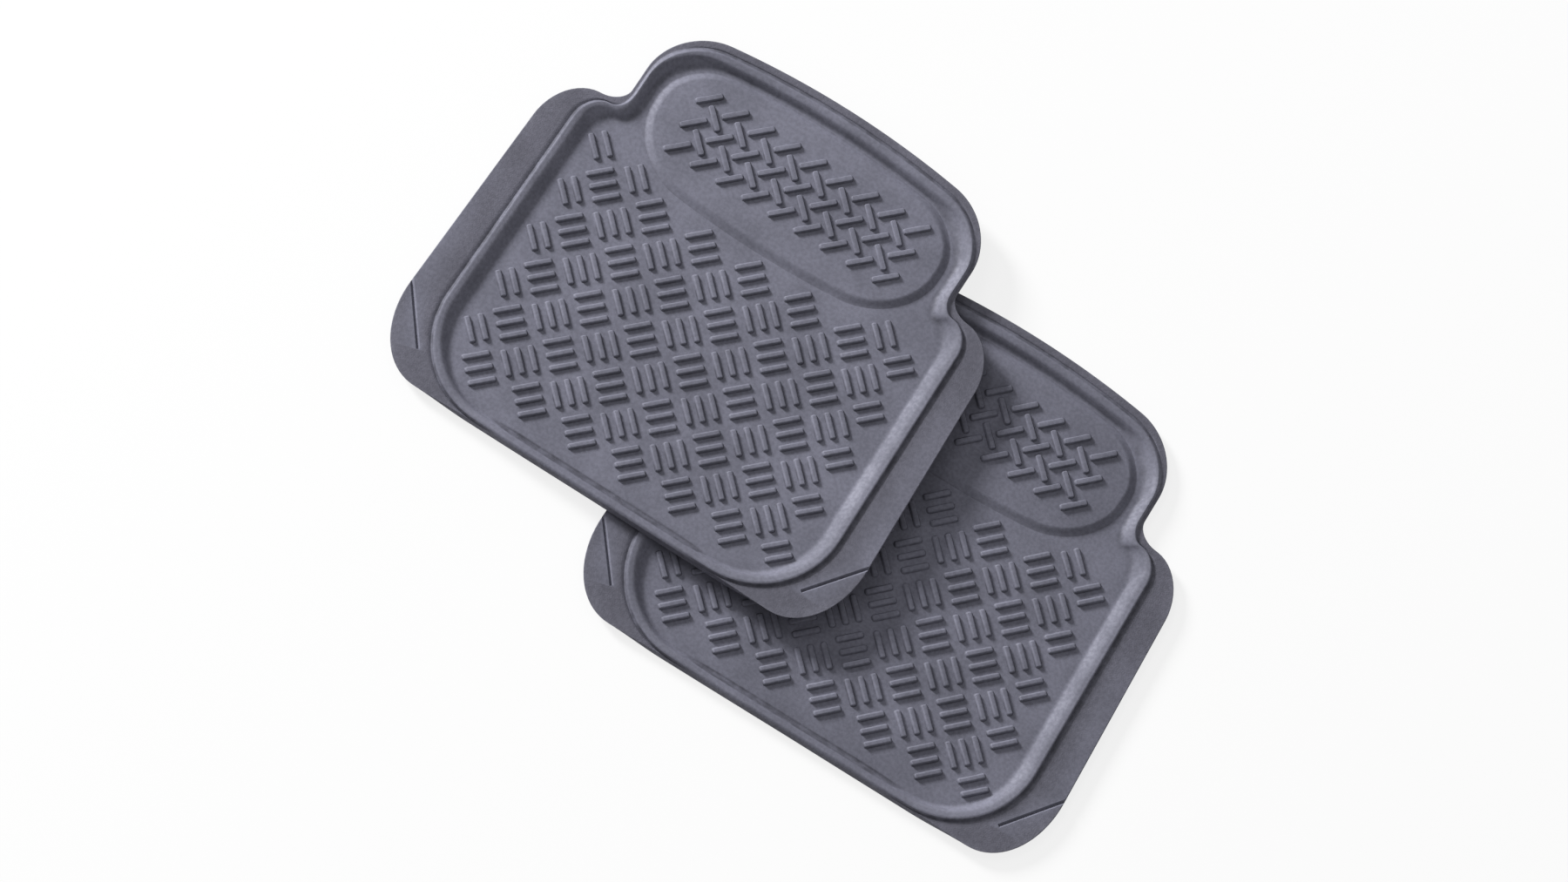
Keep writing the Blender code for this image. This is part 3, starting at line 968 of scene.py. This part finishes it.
class RepeatTrees:
    """Geometry Nodes trees that set out the ribs, bars and nibs."""

    def __init__(self) -> None:
        """Build both trees."""
        self.bars = self._bar_tree()
        self.nibs = self._nib_tree()

    @staticmethod
    def _open(name: str, taken: dict[str, str]) -> tuple[NodeSheet, Any, Any]:
        """Start a tree that turns spots into copies.

        Args:
            name: Name of the tree.
            taken: Kind of each input of its own, by name.

        Returns:
            The tree's sheet, the sockets of its inputs and those of its outputs.
        """
        sheet = NodeSheet(bpy.data.node_groups.new(name, "GeometryNodeTree"))
        kinds = {"Geometry": "Geometry", **taken, "Rubber": "Material"}
        return sheet, *sheet.ports(kinds, {"Geometry": "Geometry"})

    @staticmethod
    def _close(sheet: NodeSheet, copies: bpy.types.Node, rubber: Any, out: Any) -> None:
        """Realize the copies, give them their rubber and put them out.

        Args:
            sheet: The tree being built.
            copies: Node that sets out the instances.
            rubber: Socket with the material.
            out: Sockets of the tree's outputs.
        """
        real = sheet.add("GeometryNodeRealizeInstances", {"Geometry": copies.outputs["Instances"]})
        dress = sheet.add("GeometryNodeSetMaterial", {
            "Geometry": real.outputs["Geometry"], "Material": rubber})
        sheet.feed(out["Geometry"], dress.outputs["Geometry"])

    def _bar_tree(self) -> bpy.types.NodeTree:
        """Stand a copy of one form on every spot, turned by the spot's own lean.

        Returns:
            The tree.
        """
        sheet, taken, out = self._open("tread_bars", {"Form": "Object", "Seat Height": "Float"})
        form = sheet.add("GeometryNodeObjectInfo", {"Object": taken["Form"]},
                         transform_space="ORIGINAL")
        lean = sheet.add("GeometryNodeInputNamedAttribute", {"Name": LEAN}, data_type="FLOAT")
        turn = sheet.add("ShaderNodeCombineXYZ", {"Z": lean.outputs["Attribute"]})
        spin = sheet.add("FunctionNodeEulerToRotation", {"Euler": turn.outputs["Vector"]})
        seat = sheet.add("ShaderNodeCombineXYZ", {"Z": taken["Seat Height"]})
        lift = sheet.add("GeometryNodeSetPosition", {
            "Geometry": taken["Geometry"], "Offset": seat.outputs["Vector"]})
        stand = sheet.add("GeometryNodeInstanceOnPoints", {
            "Points": lift.outputs["Geometry"], "Instance": form.outputs["Geometry"],
            "Rotation": spin.outputs["Rotation"]})
        self._close(sheet, stand, taken["Rubber"], out)
        return sheet.tree

    def _nib_tree(self) -> bpy.types.NodeTree:
        """Hang a small cone from every spot, tip down.

        Returns:
            The tree.
        """
        sheet, taken, out = self._open("grip_nibs", {
            "Sides": "Int", "Base Radius": "Float", "Tip Radius": "Float", "Nib Height": "Float"})
        cone = sheet.add("GeometryNodeMeshCone", {
            "Vertices": taken["Sides"], "Side Segments": 1, "Radius Bottom": taken["Base Radius"],
            "Radius Top": taken["Tip Radius"], "Depth": taken["Nib Height"]}, fill_type="NGON")
        hang = sheet.add("GeometryNodeInstanceOnPoints", {
            "Points": taken["Geometry"], "Instance": cone.outputs["Mesh"],
            "Rotation": (math.pi, 0.0, 0.0)})
        self._close(sheet, hang, taken["Rubber"], out)
        return sheet.tree


def repeat_mesh(name: str, tree: bpy.types.NodeTree, spots: Sequence[tuple[float, float, float]],
                values: dict[str, Any], leans: Sequence[float] = ()) -> bpy.types.Mesh:
    """Run a tree over a set of spots.

    Args:
        name: Name of the mesh.
        tree: The Geometry Nodes tree.
        spots: Places of the copies.
        values: The tree's inputs, by name.
        leans: Turn of each copy, where the tree reads one.

    Returns:
        One plain mesh with all the copies.
    """
    points = bpy.data.meshes.new(name + "_spots")
    points.from_pydata(spots, [], [])
    if leans:
        points.attributes.new(LEAN, "FLOAT", "POINT").data.foreach_set("value", leans)
    item = add_object(name, points)
    change = item.modifiers.new(tree.name, "NODES")
    change.node_group = tree
    for socket in tree.interface.items_tree:
        if socket.in_out == "INPUT" and socket.name in values:
            change[socket.identifier] = values[socket.name]
    return finished_mesh(item, name)


class RubberEffects:
    """Shader node groups that every rubber finish shares."""

    cloud_tone = Span(0.30, 0.70, 0.88, 1.09)
    speck_tone = Span(0.28, 0.72, 0.90, 1.10)
    patches = Span(0.36, 0.66, 0.45, 1.0)
    # Where the mark turns into wear with painted highlight, and into painted shade
    crests = Span(0.25, 1.0)
    corners = Span(0.1, 0.8)
    coarse_layers = 3.0
    fine_layers = 2.0
    fine_share = 0.45

    def __init__(self) -> None:
        """Build the groups."""
        self.mottle = self._mottle()
        self.grain = self._grain()
        self.wear_and_light = self._wear_and_light()

    @staticmethod
    def _open(name: str, scales: Sequence[str], given: Sequence[str]) -> tuple[NodeSheet, Any, Any]:
        """Start a group that works from the place on the surface.

        Args:
            name: Name of the group.
            scales: Names of its other inputs.
            given: Names of its outputs.

        Returns:
            The group's sheet, the sockets of its inputs and those of its outputs.
        """
        sheet = NodeSheet(bpy.data.node_groups.new(name, "ShaderNodeTree"))
        taken = {"Position": "Vector", **dict.fromkeys(scales, "Float")}
        return sheet, *sheet.ports(taken, dict.fromkeys(given, "Float"))

    @staticmethod
    def _noise(sheet: NodeSheet, taken: Any, scale: str, layers: float) -> Any:
        """Add a noise pattern.

        Args:
            sheet: The group being built.
            taken: Sockets of the group's inputs.
            scale: Name of the input with the pattern's scale.
            layers: Number of finer layers.

        Returns:
            Socket with the pattern's value.
        """
        noise = sheet.add("ShaderNodeTexNoise", {
            "Vector": taken["Position"], "Scale": taken[scale], "Detail": layers})
        return noise.outputs[0]

    def _mottle(self) -> bpy.types.NodeTree:
        """Make the cloudy tone of a moulded compound, with fine specks.

        Returns:
            The group.
        """
        sheet, taken, out = self._open(
            "compound_mottle", ("Cloud Scale", "Speck Scale"), ("Tone",))
        clouds = self._noise(sheet, taken, "Cloud Scale", self.coarse_layers)
        specks = self._noise(sheet, taken, "Speck Scale", self.fine_layers)
        tone = sheet.maths("MULTIPLY", sheet.span(clouds, self.cloud_tone),
                           sheet.span(specks, self.speck_tone))
        sheet.feed(out["Tone"], tone)
        return sheet.tree

    def _grain(self) -> bpy.types.NodeTree:
        """Make a pebbled mould grain, as a height.

        Returns:
            The group.
        """
        sheet, taken, out = self._open("mould_grain", ("Pebble Scale", "Dust Scale"), ("Height",))
        pebble = sheet.add("ShaderNodeTexVoronoi", {
            "Vector": taken["Position"], "Scale": taken["Pebble Scale"]}, feature="SMOOTH_F1")
        fine = self._noise(sheet, taken, "Dust Scale", self.fine_layers)
        raised = sheet.maths("SUBTRACT", 1.0, pebble.outputs["Distance"])
        softened = sheet.maths("MULTIPLY", fine, self.fine_share)
        sheet.feed(out["Height"], sheet.maths("ADD", raised, softened))
        return sheet.tree

    def _wear_and_light(self) -> bpy.types.NodeTree:
        """Mask wear with painted highlight on crests, and painted shade in hollows, broken up by
        noise.

        Returns:
            The group.
        """
        sheet, taken, out = self._open(
            "handling_marks", ("Exposure", "Patch Scale"), ("Rubbed", "Dusty"))
        noise = self._noise(sheet, taken, "Patch Scale", self.coarse_layers)
        broken = sheet.span(noise, self.patches)
        # Painted shade where the mark is below zero
        shade_level = sheet.maths("MULTIPLY", taken["Exposure"], -1.0)
        crest = sheet.span(taken["Exposure"], self.crests)
        corner = sheet.span(shade_level, self.corners)
        sheet.feed(out["Rubbed"], sheet.maths("MULTIPLY", crest, broken))
        sheet.feed(out["Dusty"], sheet.maths("MULTIPLY", corner, broken))
        return sheet.tree


@dataclass(frozen=True)
class RubberFinish:
    """Matt grey moulded rubber."""

    name: str
    colour: Colour = (0.146, 0.147, 0.187, 1.0)
    coarse_colour: Colour = (0.108, 0.107, 0.135, 1.0)
    # Lighter colour of wear and painted highlight on crests and edges
    wear_and_highlight_colour: Colour = (0.215, 0.217, 0.262, 1.0)
    # Dark colour of painted shade in creases, grooves and at feet
    painted_shade_colour: Colour = (0.052, 0.052, 0.066, 1.0)
    specular: float = 0.20
    roughness: Span = Span(0.86, 1.14, 0.70, 0.56)
    polish: float = -0.12
    # Shares of wear with painted highlight, and of painted shade
    wear_and_highlight_share: float = 0.55
    painted_shade_share: float = 0.80
    cloud_scale: float = 16.0
    speck_scale: float = 260.0
    pebble_scale: float = 900.0
    dust_scale: float = 2600.0
    patch_scale: float = 70.0
    bump_strength: float = 0.40
    bump_distance: float = 0.00022
    coarse_height: float = 1.4
    shift: tuple[float, float, float] = (0.0, 0.0, 0.0)

    def _colours(self, sheet: NodeSheet, marks: bpy.types.Node, coarse: Any,
                 tone: Any) -> tuple[Any, Any]:
        """Lay the coarse colour, the wear and painted highlight colour and the painted shade colour
        over the rubber's own.

        Args:
            sheet: The material's tree.
            marks: The group that masks wear with painted highlight, and painted shade.
            coarse: Socket with the share of the flange texture.
            tone: Socket with the compound's tone.

        Returns:
            Sockets with the colour and with the share of wear and painted highlight.
        """
        wear_and_highlight = sheet.maths("MULTIPLY", marks.outputs["Rubbed"], self.wear_and_highlight_share)
        painted_shade_mask = sheet.maths("MULTIPLY", marks.outputs["Dusty"], self.painted_shade_share)
        ground = sheet.blend(coarse, self.colour, self.coarse_colour)
        # Lighten with wear and painted highlight, then darken with painted shade
        wear_and_shading = sheet.blend(wear_and_highlight, ground, self.wear_and_highlight_colour)
        shaded = sheet.blend(painted_shade_mask, wear_and_shading, self.painted_shade_colour)
        toned = sheet.add("ShaderNodeVectorMath", {0: shaded, "Scale": tone}, operation="SCALE")
        return toned.outputs["Vector"], wear_and_highlight

    def material(self, effects: RubberEffects) -> bpy.types.Material:
        """Make the material.

        Args:
            effects: The shared node groups.

        Returns:
            The new material.
        """
        material = bpy.data.materials.new(self.name)
        material.use_nodes = True
        material.diffuse_color = self.colour
        sheet = NodeSheet(material.node_tree)
        coords = sheet.add("ShaderNodeTexCoord").outputs["Object"]
        mapping = sheet.add("ShaderNodeMapping", {"Vector": coords, "Location": self.shift})
        place = mapping.outputs["Vector"]
        exposure, coarse = (sheet.add("ShaderNodeAttribute", attribute_name=name).outputs["Fac"]
                            for name in (SHADE_AND_WEAR, COARSE))
        mottle = sheet.add("ShaderNodeGroup", {
            "Position": place, "Cloud Scale": self.cloud_scale, "Speck Scale": self.speck_scale,
        }, node_tree=effects.mottle)
        marks = sheet.add("ShaderNodeGroup", {
            "Position": place, "Exposure": exposure, "Patch Scale": self.patch_scale,
        }, node_tree=effects.wear_and_light)
        grain = sheet.add("ShaderNodeGroup", {
            "Position": place, "Pebble Scale": self.pebble_scale, "Dust Scale": self.dust_scale,
        }, node_tree=effects.grain)

        tone = mottle.outputs["Tone"]
        colour, wear_and_highlight = self._colours(sheet, marks, coarse, tone)
        dullness = sheet.span(tone, self.roughness)
        polish = sheet.maths("MULTIPLY", wear_and_highlight, self.polish)
        deepened = sheet.maths("ADD", sheet.maths("MULTIPLY", coarse, self.coarse_height), 1.0)
        bump = sheet.add("ShaderNodeBump", {
            "Strength": self.bump_strength, "Distance": self.bump_distance,
            "Height": sheet.maths("MULTIPLY", grain.outputs["Height"], deepened)})
        looks = {
            "Base Color": colour, "Metallic": 0.0, "Specular IOR Level": self.specular,
            "Roughness": sheet.maths("ADD", dullness, polish, clamp=True),
            "Normal": bump.outputs["Normal"]}
        shader = material.node_tree.nodes["Principled BSDF"]
        for name, value in looks.items():
            sheet.feed(shader.inputs[name], value)
        return material


@dataclass(frozen=True)
class Lay:
    """How a mat lies on the ground."""

    yaw: float = 0.0
    tilt: float = 0.0
    rest_lean: float = 0.0

    def turn(self) -> Matrix:
        """Turn from the mat's own frame to the ground's.

        Returns:
            The rotation.
        """
        lean = Matrix.Rotation(self.rest_lean, 4, "Z")
        tilted = lean.inverted() @ Matrix.Rotation(-self.tilt, 4, "Y") @ lean
        return Matrix.Rotation(self.yaw, 4, "Z") @ tilted

    def matrix(self, drawn: np.ndarray, low: Vector, high: Vector) -> Matrix:
        """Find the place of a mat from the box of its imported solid.

        Args:
            drawn: Points of the mat's top and edge, in its own frame.
            low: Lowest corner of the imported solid.
            high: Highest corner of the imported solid.

        Returns:
            The matrix from the mat's frame to the shared frame.
        """
        turn = self.turn()
        turned = drawn @ np.array(turn.to_3x3()).T
        least, most = turned.min(axis=0), turned.max(axis=0)
        shift = Vector((0.5 * (low.x + high.x - least[0] - most[0]),
                        0.5 * (low.y + high.y - least[1] - most[1]),
                        high.z - most[2]))
        return Matrix.Translation(shift) @ turn


@dataclass
class FootwellMat:
    """One moulded mat: its sizes, its pieces and its dressing."""

    name: MatName
    lay: Lay
    finish: RubberFinish
    outline: Outline = Outline()
    rim: RimProfile = RimProfile()
    pad: ToePad = ToePad()
    weave: Weave = Weave()
    trim: TrimLines = TrimLines()
    nibs: GripNibs = GripNibs()
    sharp_angle: float = math.radians(40.0)

    def shell_mesh(self, name: str, rows: list[np.ndarray]) -> bpy.types.Mesh:
        """Model the tray, bead and flanges, with the trim lines cut in.

        Args:
            name: Name of the mesh.
            rows: Contours of the moulding.

        Returns:
            The finished mesh.
        """
        blank = name + "_blank"
        shell = add_object(blank, loft_mesh(blank, rows))
        knife = add_object("trim_cutter", self.trim.cutter(self.outline, self.rim))
        change = shell.modifiers.new("trim_lines", "BOOLEAN")
        change.operation = "DIFFERENCE"
        change.solver = "EXACT"
        change.object = knife
        mesh = finished_mesh(shell, name)
        self.trim.shade_lines(mesh, self.rim)
        bpy.data.objects.remove(knife, do_unlink=True)
        return mesh

    def bars_mesh(self, name: str, tree: bpy.types.NodeTree, form: RibForm, seat: float,
                  spots: list[Spot], rubber: bpy.types.Material) -> bpy.types.Mesh:
        """Set out ribs or bars of one form.

        Args:
            name: Name of the mesh.
            tree: Tree that stands the copies.
            form: Shape of one bar.
            seat: Height that the bars stand on.
            spots: Plan place and lean of each.
            rubber: Their material.

        Returns:
            One mesh with all of them.
        """
        pattern = add_object(name + "_form", form.mesh(name + "_form"))
        mesh = repeat_mesh(
            name, tree, [(x, y, 0.0) for x, y, _ in spots],
            {"Form": pattern, "Seat Height": seat, "Rubber": rubber},
            [math.radians(lean.value) for _, _, lean in spots])
        bpy.data.objects.remove(pattern, do_unlink=True)
        return mesh

    def nibs_mesh(self, name: str, tree: bpy.types.NodeTree,
                  rubber: bpy.types.Material) -> bpy.types.Mesh:
        """Set out the underside's nibs, whose tips lie on the ground.

        Args:
            name: Name of the mesh.
            tree: Tree that hangs the cones.
            rubber: Their material.

        Returns:
            One mesh with all of them.
        """
        top = self.rim.under_z + self.nibs.sink
        spots = [(x, y, top) for x, y in self.nibs.spots(self.outline, self.rim)]
        return repeat_mesh(name, tree, spots, {
            "Sides": self.nibs.sides, "Base Radius": self.nibs.base_radius,
            "Tip Radius": self.nibs.tip_radius, "Nib Height": top, "Rubber": rubber})

    def build(self, trees: RepeatTrees, effects: RubberEffects) -> None:
        """Make every piece of the mat, lay it and hand it to the frame.

        Args:
            trees: Geometry Nodes trees for what repeats.
            effects: Shader node groups.
        """
        label = self.name.value
        rubber = self.finish.material(effects)
        rows = self.rim.rows(self.outline)
        pad_rows = self.pad.rows(self.outline, self.rim)
        pad_top = self.rim.floor_z + self.pad.rise
        ribs = self.weave.rib_spots(self.outline, self.rim, self.pad)
        bars = self.pad.bar_spots(self.outline)
        place = self.lay.matrix(np.concatenate(rows)[:, :3], *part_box(label))
        makers: dict[str, Callable[[str], bpy.types.Mesh]] = {
            "shell": lambda name: self.shell_mesh(name, rows),
            "toe_pad": lambda name: loft_mesh(name, pad_rows),
            "tread_ribs": lambda name: self.bars_mesh(
                name, trees.bars, self.weave.rib, self.rim.floor_z, ribs, rubber),
            "pad_bars": lambda name: self.bars_mesh(
                name, trees.bars, self.weave.bar, pad_top, bars, rubber),
            "grip_nibs": lambda name: self.nibs_mesh(name, trees.nibs, rubber),
        }
        for part, make in makers.items():
            mesh = make(f"{label}_{part}")
            mesh.transform(place)
            mesh.shade_smooth()
            mesh.set_sharp_from_angle(angle=self.sharp_angle)
            mesh.materials.clear()
            mesh.materials.append(rubber)
            piece = add_object(mesh.name, mesh)
            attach(piece, label)
            if part == "shell":
                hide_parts(label)
            LOG.info("%s: %d faces on body %s", piece.name, len(mesh.polygons), label)


@dataclass(frozen=True)
class View:
    """The photograph's viewpoint: where the camera stands and how it is turned."""

    azimuth: float = math.radians(-87.93)
    elevation: float = math.radians(70.2)
    roll: float = math.radians(31.22)
    distance: float = 10.0
    pixels_per_metre: float = 1105.2
    frame_width: float = 1800.0
    sensor: float = 36.0
    target: tuple[float, float, float] = (-0.0167, -0.0338, 0.0)
    clip_end: float = 100.0

    def camera(self) -> bpy.types.Object:
        """Set up the camera.

        Returns:
            The camera, in its place.
        """
        towards = direction(self.azimuth, self.elevation)
        level = Vector((0.0, 0.0, 1.0)).cross(towards).normalized()
        upright = towards.cross(level)
        right = level * math.cos(self.roll) + upright * math.sin(self.roll)
        up = upright * math.cos(self.roll) - level * math.sin(self.roll)
        data = bpy.data.cameras.new("studio_camera")
        data.sensor_width = self.sensor
        data.lens = self.sensor * self.pixels_per_metre * self.distance / self.frame_width
        data.clip_end = self.clip_end
        item = add_object("studio_camera", data)
        turn = Matrix((right, up, towards)).transposed().to_4x4()
        place = Vector(self.target) + towards * self.distance
        item.matrix_world = Matrix.Translation(place) @ turn
        return item


@dataclass(frozen=True)
class Lamp:
    """A round lamp: where it hangs, how wide it is in metres and its power in watts."""

    name: str
    azimuth: float
    elevation: float
    size: float
    power: float


@dataclass
class Studio:
    """White floor, soft light from the mats' left side and a pale room."""

    view: View = View()
    floor_size: float = 30.0
    floor_drop: float = 0.0004
    floor_colour: Colour = (0.90, 0.90, 0.90, 1.0)
    floor_glow: float = 0.80
    lamp_distance: float = 12.0
    key: Lamp = Lamp("key_light", math.radians(165.0), math.radians(19.0), 2.8, 2680.0)
    fill: Lamp = Lamp("fill_light", math.radians(165.0), math.radians(50.0), 4.0, 170.0)
    ambient: float = 0.32

    @staticmethod
    def _seen(sheet: NodeSheet) -> Any:
        """Mask the rays that see the background: camera, glossy and transmission rays.

        Args:
            sheet: Tree of the floor's material or of the world.

        Returns:
            Socket with the mask.
        """
        rays = sheet.add("ShaderNodeLightPath").outputs
        shiny = sheet.maths("MAXIMUM", rays["Is Glossy Ray"], rays["Is Transmission Ray"])
        return sheet.maths("MAXIMUM", rays["Is Camera Ray"], shiny)

    def _floor(self) -> None:
        """Lay a plain white floor that keeps the mats' shadow."""
        bm = bmesh.new()
        bmesh.ops.create_grid(bm, x_segments=1, y_segments=1, size=0.5 * self.floor_size)
        bmesh.ops.translate(bm, verts=bm.verts, vec=(0.0, 0.0, -self.floor_drop))
        mesh = plain_mesh("studio_floor", bm)
        material = bpy.data.materials.new("floor_white")
        material.use_nodes = True
        material.node_tree.nodes.clear()
        sheet = NodeSheet(material.node_tree)
        paint = sheet.add("ShaderNodeBsdfDiffuse", {"Color": self.floor_colour}).outputs[0]
        glow = sheet.add("ShaderNodeEmission").outputs[0]
        share = sheet.maths("MULTIPLY", self._seen(sheet), self.floor_glow)
        mix = sheet.add("ShaderNodeMixShader", dict(enumerate((share, paint, glow))))
        sheet.add("ShaderNodeOutputMaterial", {"Surface": mix.outputs[0]})
        mesh.materials.append(material)
        add_object("studio_floor", mesh)

    def _world(self) -> None:
        """Fill the room with even light, and show white behind the floor."""
        world = bpy.data.worlds.new("studio_room")
        bpy.context.scene.world = world
        world.use_nodes = True
        sheet = NodeSheet(world.node_tree)
        background = world.node_tree.nodes["Background"].inputs
        strength = sheet.maths("MULTIPLY_ADD", self._seen(sheet), 1.0 - self.ambient, self.ambient)
        sheet.feed(background["Color"], (1.0, 1.0, 1.0, 1.0))
        sheet.feed(background["Strength"], strength)

    def _hang(self, lamp: Lamp) -> None:
        """Hang a soft round lamp that faces the mats.

        Args:
            lamp: Its place, size and power.
        """
        data = bpy.data.lights.new(lamp.name, "AREA")
        data.shape = "DISK"
        data.size = lamp.size
        data.energy = lamp.power
        item = add_object(lamp.name, data)
        towards = direction(lamp.azimuth, lamp.elevation)
        item.location = towards * self.lamp_distance
        item.rotation_mode = "QUATERNION"
        item.rotation_quaternion = towards.to_track_quat("Z", "Y")

    def build(self) -> None:
        """Set up the floor, the light and the camera."""
        scene = bpy.context.scene
        scene.view_settings.view_transform = "Standard"
        self._floor()
        self._world()
        self._hang(self.key)
        self._hang(self.fill)
        scene.camera = self.view.camera()


def main() -> None:
    """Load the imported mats, dress them and set up the studio."""
    logging.basicConfig(level=logging.INFO, format="%(name)s: %(message)s")
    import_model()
    trees = RepeatTrees()
    effects = RubberEffects()
    mats = (
        FootwellMat(MatName.LOWER, Lay(yaw=math.radians(1.4)), RubberFinish("lower_rubber")),
        FootwellMat(MatName.UPPER,
                    Lay(tilt=math.radians(2.43673), rest_lean=math.atan(RimProfile.edge_turn.taper)),
                    RubberFinish("upper_rubber", shift=(0.37, 0.21, 0.0))),
    )
    for mat in mats:
        mat.build(trees, effects)
    Studio().build()
    LOG.info("dressed %d mats", len(mats))


if __name__ == "__main__":
    main()
